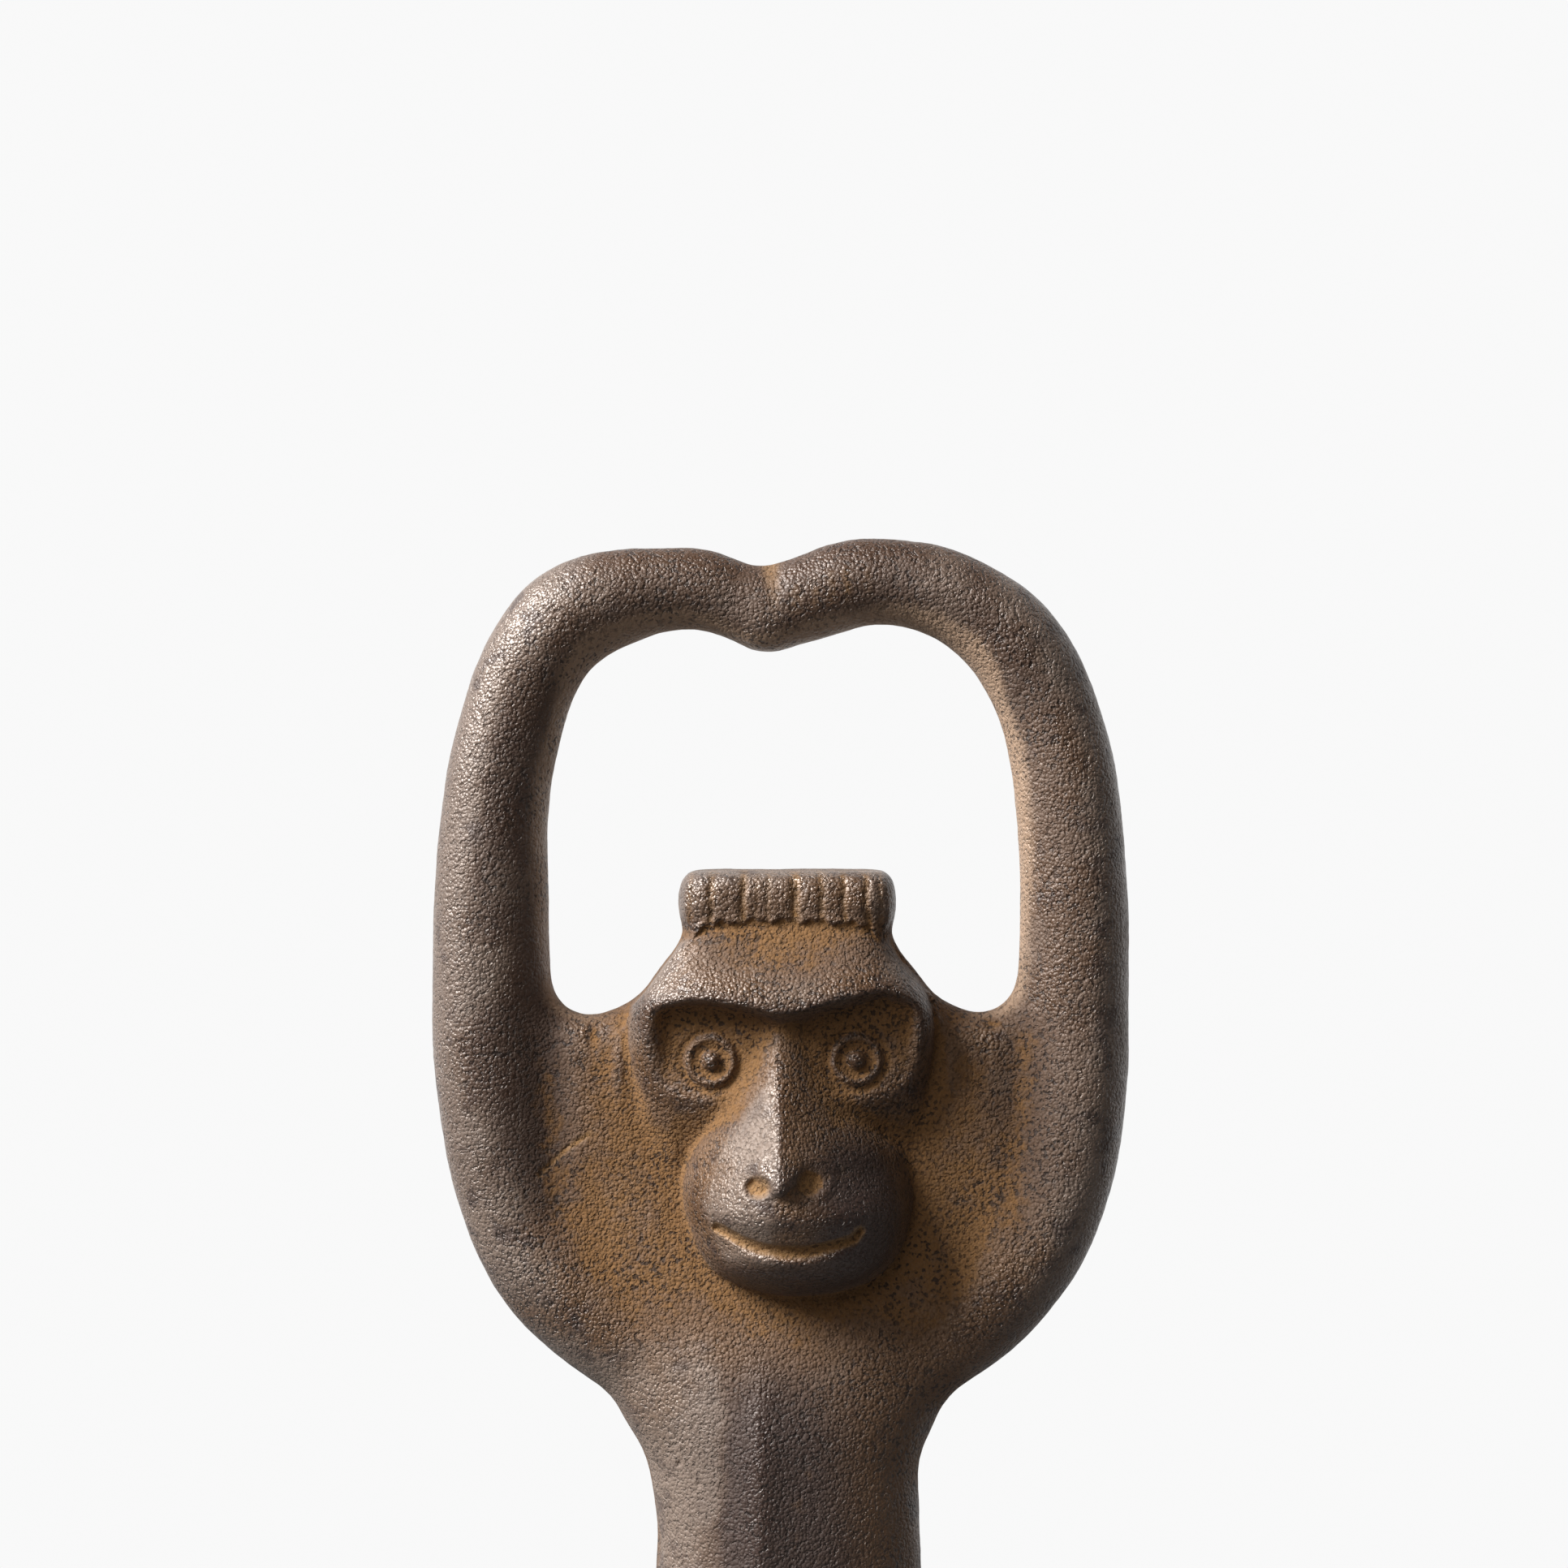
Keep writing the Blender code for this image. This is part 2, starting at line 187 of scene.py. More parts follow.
# The crisp edge of the brow, where the forehead turns under, and the line where its underside meets the
# sockets.
BROW_EDGE = (
    (-13.0, 108.2),
    (-11.2, 108.6),
    (-9.7, 109.1),
    (-8.0, 109.5),
    (-4.6, 109.3),
    (-2.6, 109.0),
    (0.0, 108.5),
    (1.6, 108.7),
    (3.8, 109.3),
    (6.4, 109.9),
    (8.9, 110.2),
    (10.8, 109.5),
    (13.0, 108.2),
)
SOCKET_ROOF = (
    (-13.0, 106.6),
    (-11.2, 106.8),
    (-9.7, 107.4),
    (-8.0, 107.7),
    (-4.6, 107.6),
    (-2.6, 106.8),
    (0.0, 105.7),
    (1.6, 105.9),
    (3.8, 106.8),
    (6.4, 107.7),
    (8.9, 108.2),
    (10.8, 107.6),
    (13.0, 106.6),
)
# The line of the mouth, from corner to corner.
MOUTH = (
    (-5.35, 90.6),
    (-4.4, 90.2),
    (-3.1, 89.6),
    (-1.75, 89.15),
    (0.1, 88.9),
    (2.2, 88.95),
    (4.3, 89.4),
    (6.0, 89.9),
    (6.5, 90.5),
)
# Half the width of the skull, and how far it stands forward, at each height.
HEAD_HALF = (
    (80, 6.0),
    (93, 9.6),
    (95, 10.6),
    (97, 11.4),
    (99, 12.1),
    (101, 12.6),
    (103, 13.0),
    (107.5, 13.1),
    (109.8, 12.5),
    (111.2, 11.5),
    (112.6, 10.3),
    (114.0, 9.4),
    (121, 9.2),
)
HEAD_REACH = (
    (80, 0.5),
    (91, 2.6),
    (93, 3.2),
    (95, 4.1),
    (97, 5.1),
    (99, 6.0),
    (101, 6.9),
    (105, 8.6),
    (108.6, 9.8),
    (110.5, 9.2),
    (113.0, 7.5),
    (115.0, 6.5),
    (116.5, 6.1),
    (121, 5.6),
)
# How far out the carving of the forehead reaches, so that the locks at the ends of the crest stay whole.
CARVED_HALF = ((109, 13.3), (111.2, 12.2), (112.6, 11.1), (113.6, 10.0), (114.6, 8.4), (117.5, 8.0))


def skull_height(x, z):
    reach = curve_through(HEAD_REACH, z)
    half = curve_through(HEAD_HALF, z)
    square = 3.2 + 2.2 * smoothstep(110.5, 116, z) - 0.8 * smoothstep(102, 97, z)
    share = np.clip(np.abs(x) / half, 0, 1)
    return reach * (1 - share**square) ** (1 / square)


def socket_share(x, z):
    """0 on the brow and the rims outside the eyes, 1 on the floor of a socket.

    The brow's underside falls away steeply at first and then runs into the floor, which runs out on the cheek
    below the eyes.
    """
    edge = curve_through(BROW_EDGE, x)
    roof = curve_through(SOCKET_ROOF, x)
    down = np.clip((edge - z) / (edge - roof), 0, 1)
    under = 1 - (1 - down) ** 2.4
    tuck = 0.10 * np.maximum(101 - z, 0)
    outer_right = smoothstep(-11.6 + tuck, -9.3 + tuck, x)
    outer_left = smoothstep(12.2 - tuck, 10.5 - tuck, x)
    run_out = smoothstep(95.0, 98.0, z)
    return under * outer_right * outer_left * run_out


def socket_floor(x, z):
    """The floor of the sockets: nearly flat, rounded back a little towards the sides of the head."""
    return 6.9 - 0.010 * (x - 0.3) ** 2 + 0.02 * (104 - z)


# How far the muzzle and the nose above it stand forward at each height.
MUZZLE_REACH = (
    (83.4, 0.0),
    (83.9, 3.6),
    (84.5, 6.2),
    (85.3, 8.4),
    (86.2, 10.0),
    (87.2, 11.1),
    (88.1, 11.7),
    (88.9, 11.8),
    (90.0, 12.3),
    (91.5, 13.1),
    (93.2, 13.2),
    (95.0, 13.5),
    (97.0, 12.9),
    (99.0, 11.9),
    (101.0, 10.8),
    (103.0, 9.6),
    (105.0, 8.5),
    (107.0, 7.2),
    (108.5, 5.5),
    (110.5, 0.5),
)
# The outline of the muzzle on the figure's right and on its left, from the chin up to the root of the nose.
MUZZLE_RIGHT = (
    (83.4, 1.2),
    (84.0, -2.0),
    (84.8, -4.2),
    (86.0, -6.2),
    (88.1, -7.8),
    (90.4, -8.5),
    (93.1, -8.8),
    (95.5, -8.5),
    (97.0, -8.0),
    (98.5, -7.3),
    (100.5, -6.0),
    (102.4, -4.6),
    (104.3, -3.6),
    (107.0, -2.8),
    (110.5, -2.6),
)
MUZZLE_LEFT = (
    (83.4, 1.6),
    (84.0, 4.8),
    (84.9, 7.6),
    (86.4, 9.7),
    (88.6, 11.1),
    (90.6, 11.6),
    (92.6, 11.8),
    (94.6, 11.4),
    (96.6, 10.6),
    (98.5, 9.0),
    (100.4, 7.1),
    (102.4, 5.2),
    (104.3, 3.9),
    (107.0, 3.0),
    (110.5, 2.8),
)


def muzzle_height(x, z):
    """A round muzzle below the nose. Above it, two planes that meet in the ridge of the nose."""
    reach = curve_through(MUZZLE_REACH, z)
    right = curve_through(MUZZLE_RIGHT, z)
    left = curve_through(MUZZLE_LEFT, z)
    roof = smoothstep(91.0, 95.5, z)
    root = smoothstep(99, 105, z)
    middle = 1.5 - 1.65 * smoothstep(89.0, 95.0, z)
    wide = np.where(x > middle, left - middle, middle - right)
    share = np.clip(np.abs(x - middle) / wide, 0, 1)
    bulge = 2.2 - 1.15 * roof + 0.55 * root
    side = 1.9 + 0.30 * roof
    return reach * (1 - share**bulge) ** (1 / side)


# How far the ridge of the nose stands forward, from its tip up.
NOSE_RIDGE = ((93.0, 13.9), (94.4, 14.3), (95.6, 13.9), (97.0, 13.1), (99.0, 12.0), (101.0, 10.9))


def nose_height(x, z):
    """The small wedge that ends the nose in a point between the nostrils."""
    ridge = curve_through(NOSE_RIDGE, z)
    away = np.abs(x + 0.1)
    wedge = ridge - 0.62 * away - 0.6 * np.maximum(away - 1.2, 0) ** 2
    foot = 93.7 + 0.6 * away
    return wedge - 12 * smoothstep(foot + 0.2, foot - 1.0, z) - 9 * smoothstep(97.0, 100, z)


def head_height(x, z):
    """The skull with its sockets sunk in it, and the muzzle and the nose in front."""
    height = skull_height(x, z)
    share = socket_share(x, z)
    floor = np.minimum(height, socket_floor(x, z))
    height = height * (1 - share) + floor * share
    height = soft_max(height, muzzle_height(x, z), 0.8 + 1.4 * smoothstep(97, 101, z))
    return soft_max(height, nose_height(x, z), 0.3)


# The spacing of the grid of heights, where its rays start ahead of the casting, and how often the web's
# heights are evened out behind the face.
GRID = 0.25
RAY_START = -50.0
EVENING_OUT = 2500


def front_surface(mesh, xs, zs):
    """How far the casting's front stands ahead of the middle plane, over a grid. NaN where there is none."""
    whole = bmesh.new()
    whole.from_mesh(mesh)
    tree = BVHTree.FromBMesh(whole)
    whole.free()
    found = np.full((len(zs), len(xs)), np.nan)
    ahead = Vector((0, 1, 0))
    for row, z in enumerate(zs):
        for column, x in enumerate(xs):
            place, _, _, _ = tree.ray_cast(Vector((x * MM, RAY_START * MM, z * MM)), ahead)
            if place is not None:
                found[row, column] = MIDDLE - place.y / MM
    return found


def web_without_face(mesh):
    """The chest and the web carried smoothly across behind the face, as a grid of heights."""
    xs = np.arange(-17, 17 + GRID / 2, GRID)
    zs = np.arange(79, 106 + GRID / 2, GRID)
    height = front_surface(mesh, xs, zs)
    across, up = np.meshgrid(xs, zs)
    behind_face = np.abs(across - LOOP_MIDDLE) < 14.4 - 0.5 * np.maximum(86 - up, 0)
    free = behind_face & (up > 81.5)
    free[:, 0] = False
    free[:, -1] = False
    start = height[:, :1] + (height[:, -1:] - height[:, :1]) * (xs - xs[0]) / (xs[-1] - xs[0])
    height[free] = start[free]
    for _ in range(EVENING_OUT):
        padded = np.pad(height, ((1, 1), (1, 1)), mode="edge")
        mean = (padded[:-2, 1:-1] + padded[2:, 1:-1] + padded[1:-1, :-2] + padded[1:-1, 2:]) / 4
        height[free] = mean[free]
    return xs, zs, height


def read_grid(grid, x, z):
    """The height that the grid gives at each point, blended between its four neighbours."""
    xs, zs, height = grid
    column = np.clip((x - xs[0]) / GRID, 0, len(xs) - 1.001)
    row = np.clip((z - zs[0]) / GRID, 0, len(zs) - 1.001)
    left = column.astype(int)
    below = row.astype(int)
    right_share = column - left
    up_share = row - below
    low_row = height[below, left] * (1 - right_share) + height[below, left + 1] * right_share
    high_row = height[below + 1, left] * (1 - right_share) + height[below + 1, left + 1] * right_share
    return low_row * (1 - up_share) + high_row * up_share


def carve_head(mesh):
    """Pares the rough face down to the web and models it afresh, from the chin to the crest."""
    grid = web_without_face(mesh)
    points = points_of(mesh)
    x = points[:, 0]
    z = points[:, 2]
    front = MIDDLE - points[:, 1]
    head = head_height(x, z)
    web = read_grid(grid, x, z)
    web = np.where(z > 105.8, np.minimum(web, front), web)
    cheek = smoothstep(93, 96, z) * smoothstep(103, 99, z) * smoothstep(7.5, 9.5, np.abs(x))
    new = soft_max(head, web, 0.5 + 0.3 * smoothstep(92, 88, z) + 1.8 * cheek)
    new = np.where(z > 110, head, new)
    outline = np.where(z < 109, 14.3, curve_through(CARVED_HALF, z))
    region = smoothstep(0.4, 1.6, front) * smoothstep(81.6, 82.6, z) * smoothstep(117.2, 116.0, z)
    fade = 0.8 * smoothstep(110, 113, z)
    region *= smoothstep(outline + 0.3 + fade, outline - 0.5 - fade, np.abs(x - 0.2))
    points[:, 1] = MIDDLE - (front * (1 - region) + new * region)
    put_points(mesh, points)


# ---- fine carving ----------------------------------------------------------------------------------------


# An eye: the raised ring, the groove round it, the edge of the dish inside it, and the bead.
EYE_RING = 1.90
EYE_GROOVE = 2.50
EYE_LINE = 0.30
EYE_DISH = 1.5
EYE_BEAD = 0.82


def eye_relief(x, z):
    """A raised ring round a flat dish, with a bead in the middle and a groove round the ring."""
    total = np.zeros(x.shape)
    for centre in EYES:
        gap = np.hypot(x - centre[0], z - centre[1])
        total += 0.32 * np.exp(-(((gap - EYE_RING) / EYE_LINE) ** 2))
        total -= 0.20 * np.exp(-(((gap - EYE_GROOVE) / EYE_LINE) ** 2))
        total -= 0.08 * smoothstep(EYE_DISH, 1.1, gap)
        total += 0.75 * np.sqrt(np.clip(1 - (gap / EYE_BEAD) ** 2, 0, 1))
    return total


def nostril_relief(x, z):
    """Two shallow bowls beside the tip of the nose."""
    total = np.zeros(x.shape)
    for side, centre in ((-1, NOSTRILS[0]), (+1, NOSTRILS[1])):
        across = x - centre[0]
        up = z - centre[1]
        gap = np.hypot((across + side * 0.2 * up) / 1.25, up / 1.0)
        total -= (0.60 - 0.12 * side) * smoothstep(1.1, 0.45, gap)
        wing = np.hypot(across / 1.85, (up - 0.2) / 1.6)
        outer = smoothstep(-0.4, 0.6, side * across + 0.5 * up)
        total += 0.14 * np.exp(-(((wing - 1.0) / 0.25) ** 2)) * outer
    return total


def mouth_relief(x, z):
    """A groove that is widest in the middle, with the lower lip rolled out under it."""
    gap, along = distance_to_line(x, z, MOUTH)
    wide = 0.15 + 0.38 * np.sin(math.pi * np.clip(along, 0.03, 0.97)) ** 0.5
    groove = -0.50 * smoothstep(wide + 0.22, wide * 0.5, gap)
    below = smoothstep(0.2, 0.9, 89.4 - z + 0.045 * (x - 0.6) ** 2)
    lower_lip = 0.10 * np.exp(-(((gap - wide - 0.6) / 0.45) ** 2)) * below
    return groove + lower_lip


def carve_face(points, normals):
    """Eyes, nostrils and mouth, cut into the parts of the face that look forward."""
    x = points[:, 0]
    z = points[:, 2]
    front = MIDDLE - points[:, 1]
    facing = smoothstep(0.05, 0.5, -normals[:, 1]) * smoothstep(4.0, 5.0, front)
    relief = eye_relief(x, z) + nostril_relief(x, z) + mouth_relief(x, z)
    points[:, 1] -= relief * facing
    return points


# Each groove of the crest: its place across, its width, its depth, and its lean.
CREST_GROOVES = (
    (-7.7, 0.20, 0.12, 0.05),
    (-5.9, 0.20, 0.22, 0.04),
    (-3.2, 0.24, 0.26, 0.02),
    (-2.1, 0.16, 0.08, 0.03),
    (-1.1, 0.18, 0.12, 0.03),
    (1.2, 0.34, 0.28, 0.00),
    (3.4, 0.22, 0.22, -0.02),
    (5.3, 0.20, 0.22, -0.04),
    (7.2, 0.22, 0.24, -0.06),
    (8.4, 0.18, 0.12, -0.04),
)


def carve_crest(points, normals):
    """Grooved hair on the front and the back of the crest.

    It stands a step proud of the forehead, with a ragged lower edge and a lock that hangs down at each end.
    """
    x = points[:, 0]
    z = points[:, 2]
    through = points[:, 1] - MIDDLE
    facing = smoothstep(0.35, 0.8, np.abs(normals[:, 1])) * smoothstep(2.6, 3.6, np.abs(through))
    facing *= np.abs(x - 0.5) < 9.9
    ragged = 0.16 * np.sin(2.3 * x + 0.6) + 0.10 * np.sin(5.1 * x + 2.0)
    lock = 1.7 * smoothstep(6.9, 8.2, np.abs(x - LOOP_MIDDLE))
    foot = CREST_FOOT - 0.2 + 0.25 * np.cos(0.33 * x) + ragged - lock
    tall = smoothstep(foot - 0.1, foot + 0.3, z) * smoothstep(CREST_TOP + 0.5, CREST_TOP - 0.3, z)
    proud = 0.36 * smoothstep(foot - 0.15, foot + 0.15, z) * smoothstep(CREST_TOP + 0.5, CREST_TOP - 0.1, z)
    hollow = -0.10 * np.exp(-(((z - foot + 0.5) / 0.4) ** 2)) * smoothstep(9.0, 7.8, np.abs(x - LOOP_MIDDLE))
    relief = proud + hollow
    for place, wide, deep, lean in CREST_GROOVES:
        wander = 0.12 * np.sin(2.1 * z + 3.0 * place)
        relief -= tall * deep * np.exp(-(((x - place - lean * (z - 118) - wander) / wide) ** 2))
    points[:, 1] += np.sign(normals[:, 1]) * relief * facing
    return points


HAND_CREASE = ((-0.9, 147.6), (-0.95, 146.0), (-0.75, 144.3), (-0.55, 142.6))
SCRATCH = ((-20.6, 94.3), (-18.6, 96.2), (-16.4, 97.8))
SCRATCH_HALF = 0.16
SCRATCH_DEPTH = 0.14
# Two dents in the web's edge and two blowholes in the belly: the place, the half sizes, and the depth.
DENTS = (
    ((-16.1, 106.0), (0.45, 1.0), 0.35),
    ((18.1, 107.0), (0.7, 0.4), 0.35),
    ((-8.6, 70.2), (0.22, 0.22), 0.30),
    ((-6.9, 68.6), (0.22, 0.22), 0.26),
)


def carve_body(points, normals):
    """The crease between the hands, the keel of the belly, the dents, and the scratch of use."""
    x = points[:, 0]
    z = points[:, 2]
    facing = np.sign(normals[:, 1]) * smoothstep(0.1, 0.6, np.abs(normals[:, 1]))
    forward = smoothstep(0.1, 0.6, -normals[:, 1])
    gap, along = distance_to_line(x, z, HAND_CREASE)
    wide = 1.25 - 0.65 * along
    relief = -0.55 * (1 - 0.85 * along) * np.exp(-((gap / wide) ** 2))
    points[:, 1] += facing * relief
    keel = 1.6 * np.exp(-np.hypot(x + 1.7, 0.35) / 5.0) * smoothstep(84.0, 69.0, z) * smoothstep(42, 54, z)
    scratch_gap, _ = distance_to_line(x, z, SCRATCH)
    marks = -SCRATCH_DEPTH * np.exp(-((scratch_gap / SCRATCH_HALF) ** 2))
    for place, half, deep in DENTS:
        marks -= deep * hump(x, z, place, half)
    points[:, 1] -= forward * (keel + marks)
    return points


# The arms' middle line, from the middle of the loop, and how much thicker they get per millimetre outwards.
ARM_MIDDLE = 25.5
ARM_SWELL = 0.024


def swell_arms(points, normals):
    """The arms are a little thicker on the outside of the loop than on the inside."""
    out = np.abs(points[:, 0] - LOOP_MIDDLE)
    z = points[:, 2]
    arm = smoothstep(17.5, 20.5, out) * smoothstep(84, 94, z) * smoothstep(140, 130, z)
    points[:, 1] = MIDDLE + (points[:, 1] - MIDDLE) * (1 + ARM_SWELL * (out - ARM_MIDDLE) * arm)
    return points


# A foot's middle from the middle of the figure, and the grooves between its toes.
FOOT_OUT = 6.6
TOE_GROOVES = 4
TOE_SPACING = 2.35
TOE_GROOVE_HALF = 0.34
TOE_GROOVE_DEPTH = 0.55


def carve_toes(points, normals):
    """Four short grooves on each foot part its toes."""
    x = points[:, 0]
    y = points[:, 1]
    z = points[:, 2]
    centre = (BOX_LOW[0] + BOX_HIGH[0]) / (2 * MM) + 0.5
    toe_tip = BOX_LOW[1] / MM
    upward = smoothstep(-0.2, 0.3, normals[:, 2] - 0.6 * normals[:, 1])
    near_tip = smoothstep(toe_tip + 7.5, toe_tip + 4.5, y) * smoothstep(0.3, 1.2, z) * smoothstep(9.0, 7.5, z)
    for side in (-1, +1):
        middle = centre + side * FOOT_OUT
        for count in range(TOE_GROOVES):
            beside = count - (TOE_GROOVES - 1) / 2
            place = middle + side * 0.25 + beside * TOE_SPACING + 0.05 * (y - toe_tip) * beside
            groove = TOE_GROOVE_DEPTH * np.exp(-(((x - place) / TOE_GROOVE_HALF) ** 2))
            points[:, 2] -= groove * near_tip * upward
    return points


# The swells of the skin, as (size, height): the pattern's, the sand's, and the one between them.
SWELLS = ((5.5, 0.09), (0.6, 0.022), (1.9, 0.03))


def rough_casting(points, normals):
    """The slow waviness of a hand-made pattern and the coarse grain of moulding sand."""
    waves = np.empty(len(points))
    for index, point in enumerate(points):
        at = Vector(point)
        waves[index] = sum(height * noise.noise(at / size) for size, height in SWELLS)
    points += normals * waves[:, None]
    return points


# ---- what the finish reads from the shape ----------------------------------------------------------------


def diffused(values, starts, ends, passes):
    """Each vertex's value averaged with its neighbours', over and over."""
    count = len(values)
    links = np.bincount(starts, minlength=count) + np.bincount(ends, minlength=count)
    for _ in range(passes):
        total = np.bincount(starts, values[ends], count) + np.bincount(ends, values[starts], count)
        values = 0.5 * values + 0.5 * total / links
    return values


def hollowness(mesh, passes):
    """How far each vertex lies below the smoothed surface, in millimetres."""
    points = points_of(mesh)
    edges = np.empty(len(mesh.edges) * 2, np.int32)
    mesh.edges.foreach_get("vertices", edges)
    starts = edges[0::2]
    ends = edges[1::2]
    smooth = np.stack([diffused(points[:, axis], starts, ends, passes) for axis in range(3)], axis=1)
    return ((smooth - points) * normals_of(mesh)).sum(axis=1), starts, ends


def store(mesh, name, values):
    kept = mesh.attributes.new(name, "FLOAT", "POINT")
    kept.data.foreach_set("value", np.ascontiguousarray(values, np.float32))


# The height of the middle of the loop, and of the point that its inner wall looks towards.
LOOP_HEIGHT = 122
LOOP_FOCUS = 130
# How often the broad and the narrow hollows are evened out, and how often the edges of the areas of finish.
BROAD_PASSES = 90
NARROW_PASSES = 10
AREA_PASSES = 6


class Skin:
    """The places and directions of the skin's points, in the words that the finish uses."""

    def __init__(self, mesh):
        points = points_of(mesh)
        normals = normals_of(mesh)
        self.x = points[:, 0]
        self.z = points[:, 2]
        self.front = MIDDLE - points[:, 1]
        self.beside = np.abs(self.x - LOOP_MIDDLE)
        self.ahead = -normals[:, 1]
        focus = np.stack([LOOP_MIDDLE - self.x, np.zeros(len(self.x)), LOOP_FOCUS - self.z], axis=1)
        focus /= np.linalg.norm(focus, axis=1)[:, None]
        self.inward = (focus * normals).sum(axis=1)
        self.muzzle = smoothstep(5.5, 7.5, self.front) * smoothstep(100, 96, self.z)
        crest = 0.7 * smoothstep(CREST_FOOT - 0.6, CREST_FOOT + 0.2, self.z)
        self.crest = crest * (self.z < LOOP_HEIGHT) * (self.beside < 11)
        # The brow is rubbed all along; the extra on its x < 0 end is painted light, where it faces the window.
        brow = 0.3 + 0.5 * smoothstep(-5, -9, self.x)
        brow *= smoothstep(108.6, 110.0, self.z) * smoothstep(115.4, 113.6, self.z)
        self.brow = brow * smoothstep(3.5, 5.0, self.front)


def loop_wall_light(skin):
    """Painted light: a pale band on the inner wall of the loop, wider at the hands, standing in for the light
    that the wall catches.
    """
    near_hands = 0.22 * smoothstep(134, 140, skin.z)
    wall = smoothstep(0.55, 0.80, skin.inward + near_hands) * smoothstep(106, 109, skin.z)
    return wall * smoothstep(9.4, 12.0, np.hypot(skin.x - LOOP_MIDDLE, skin.z - LOOP_HEIGHT))


def wear_and_painted_light_share(skin):
    """Where hands rub the wax: the outside of the arms, the back, the brow and the crest. Painted light on what
    faces the window at x < 0: the nose and a cheek, more of the brow, a flank.
    """
    outer = smoothstep(-0.2, 0.7, -skin.inward) * smoothstep(15, 21, skin.beside) * smoothstep(80, 92, skin.z)
    back = 0.5 * smoothstep(0.0, 0.6, -skin.ahead)
    # Painted light: the nose and the muzzle are made lighter on their x < 0 side, which faces the window.
    nose = smoothstep(7.5, 9.5, skin.front) * smoothstep(105, 102, skin.z) * smoothstep(0.2, -0.8, skin.x)
    cheek = nose * smoothstep(86.5, 88.5, skin.z)
    # Painted light: the belly's flank at x < 0, which faces the window, is made lighter.
    flank = smoothstep(-3.5, -6.5, skin.x) * smoothstep(84, 76, skin.z) * smoothstep(0.1, 0.4, skin.ahead)
    return np.maximum.reduce([outer, back, cheek, skin.brow, skin.crest, flank])


def dark_wax_and_painted_shade_share(skin):
    """Where the wax stays thick and dark: the arms and the crest. Painted shade on what turns from the window:
    the jowl at x > 0 and under the mouth, most of the forehead, one side of the belly.
    """
    x = skin.x
    z = skin.z
    arms = np.maximum(smoothstep(16.5, 20.5, skin.beside) * smoothstep(84, 96, z), smoothstep(126, 134, z))
    hands = smoothstep(130, 138, z)
    # The arm at x < 0 takes more of the dark wax than the arm at x > 0, and its hand less.
    arms *= np.where(x > 0, 0.58 + 0.27 * hands, 0.95 - 0.20 * hands)
    # Painted shade on the belly at x > 0, which turns from the window.
    belly = 0.20 * smoothstep(-2.6, 0.5, x) * smoothstep(86, 74, z) * smoothstep(0.2, 0.7, skin.ahead)
    # Painted shade on the muzzle at x > 0 and below the mouth, which turn from the window and face down.
    jowl = 1.15 * skin.muzzle * np.maximum(smoothstep(0.0, 5.0, x), smoothstep(88.4, 87.0, z))
    # Painted shade on the brow and forehead, except at the x < 0 end that faces the window.
    forehead = 0.35 * skin.brow * smoothstep(-9, -5, x) / 0.3
    return np.maximum.reduce([arms, belly, jowl, 0.6 * skin.crest, forehead])


def sheltered_share(skin):
    """The web behind the face, and less of the belly, which hands don't reach."""
    web = smoothstep(20.0, 15.5, skin.beside) * smoothstep(122, 118, skin.z)
    web *= 0.5 * smoothstep(44, 60, skin.z) + 0.5 * smoothstep(76, 88, skin.z)
    return web * smoothstep(0.3, 0.8, skin.ahead)


def dust_share(skin):
    """Pale rust dust in the scratch, the hands' crease, the nostrils, the grooves of hair and the mouth."""
    x = skin.x
    z = skin.z
    gap, _ = distance_to_line(x, z, SCRATCH)
    scratch = np.exp(-((gap / 0.22) ** 2)) * smoothstep(0.1, 0.5, skin.ahead)
    gap, along = distance_to_line(x, z, HAND_CREASE)
    dust = 0.75 * (1 - 0.9 * along) * smoothstep(1.2 - 0.7 * along, 0.3, gap)
    for centre in NOSTRILS:
        bowl = smoothstep(1.15, 0.6, np.hypot(x - centre[0], z - centre[1]))
        dust = np.maximum(dust, bowl * (skin.ahead > 0.2))
    hair = smoothstep(3.0, 3.6, np.abs(skin.front)) * (z > CREST_FOOT - 0.3) * (skin.beside < 9.4)
    for place, wide, deep, lean in CREST_GROOVES:
        groove = np.exp(-(((x - place - lean * (z - 118)) / (1.2 * wide)) ** 2))
        dust = np.maximum(dust, 2.2 * deep * groove * hair)
    gap, _ = distance_to_line(x, z, MOUTH)
    mouth = smoothstep(0.62, 0.40, gap) * smoothstep(-0.2, 0.4, skin.ahead) * (z < 95)
    return np.maximum.reduce([scratch, dust, mouth])


def measure_shape(mesh):
    """Rust dust lies in hollows and round the foot of the face. Wax and wear shine on what stands out."""
    broad, starts, ends = hollowness(mesh, BROAD_PASSES)
    narrow, _, _ = hollowness(mesh, NARROW_PASSES)
    narrow = diffused(narrow, starts, ends, 2)
    store(mesh, "hollow_broad", np.clip(broad, -1, 1))
    store(mesh, "hollow_narrow", np.clip(narrow, -1, 1))
    skin = Skin(mesh)
    # Some of these masks carry painted light and painted shade as well as wear, wax and rust.
    store(mesh, "loop_wall_light", diffused(loop_wall_light(skin), starts, ends, 2))
    store(mesh, "wear_and_painted_light", diffused(wear_and_painted_light_share(skin), starts, ends, AREA_PASSES))
    store(mesh, "dark_wax_and_painted_shade", diffused(dark_wax_and_painted_shade_share(skin), starts, ends, AREA_PASSES))
    store(mesh, "sheltered", sheltered_share(skin))
    store(mesh, "dust", dust_share(skin))


